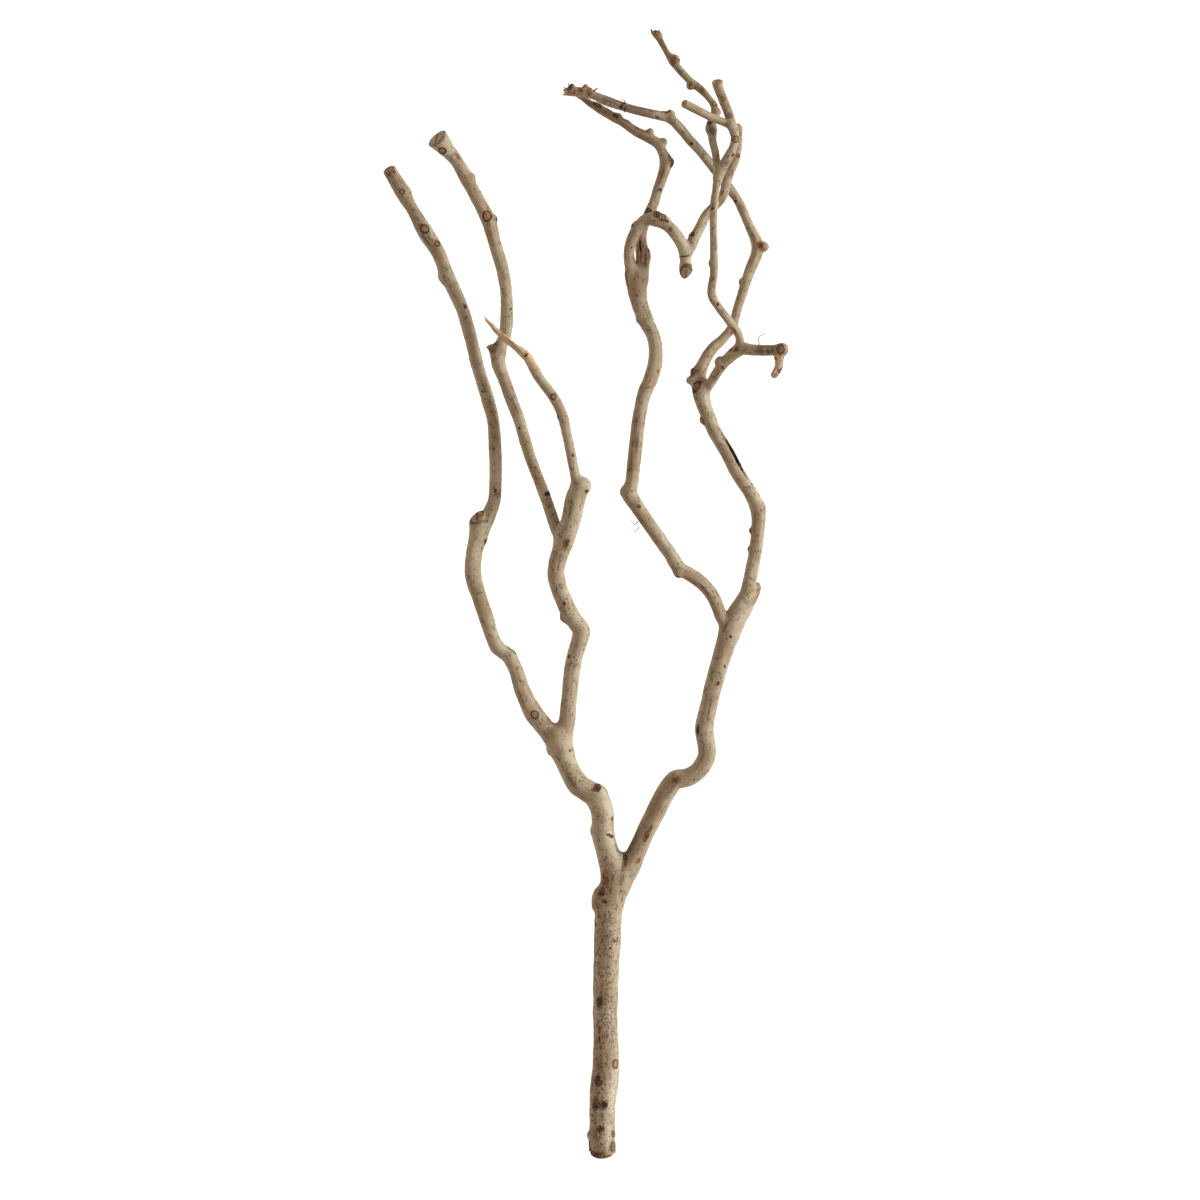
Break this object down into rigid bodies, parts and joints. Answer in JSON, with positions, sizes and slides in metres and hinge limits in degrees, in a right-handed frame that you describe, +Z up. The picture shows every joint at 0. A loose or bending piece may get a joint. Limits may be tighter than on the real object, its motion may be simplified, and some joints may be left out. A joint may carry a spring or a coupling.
{
  "type": "fallen tree branch",
  "caption": "Bare weathered tree branch lying flat, a straight butt forking into crooked limbs and thin twigs with knots, cut stubs and broken ends.",
  "frame": {"origin": "under the middle of the lying branch's bounding box, on the surface it rests on", "axes": "+Y runs from the cut foot of the trunk to the twig tips, +X across the crown to the right seen from above, +Z up from the surface that the branch lies on"},
  "size_m": [0.3244, 0.9031, 0.1165],
  "materials": {
    "limb_wood": "weathered smooth bare wood, khaki beige with grey streaks, dark pores and brown-ringed knots",
    "twig_wood": "weathered thin twigs, a little browner and darker, with remains of bark and rust spots"
  },
  "bodies": {
    "root": {"trunk": "limb_wood", "left_limb": "limb_wood", "left_outer_branch": "limb_wood", "left_inner_branch": "limb_wood", "left_broken_twig": "twig_wood", "left_middle_branch": "limb_wood", "right_limb": "limb_wood", "right_outer_branch": "limb_wood", "back_branch": "twig_wood", "front_branch": "twig_wood", "long_twig": "twig_wood", "forked_twig": "twig_wood", "tip_twig": "twig_wood", "centre_branch": "limb_wood", "arch_twig": "twig_wood", "bent_twig": "twig_wood", "crossing_twig": "twig_wood"}
  },
  "joints": []
}
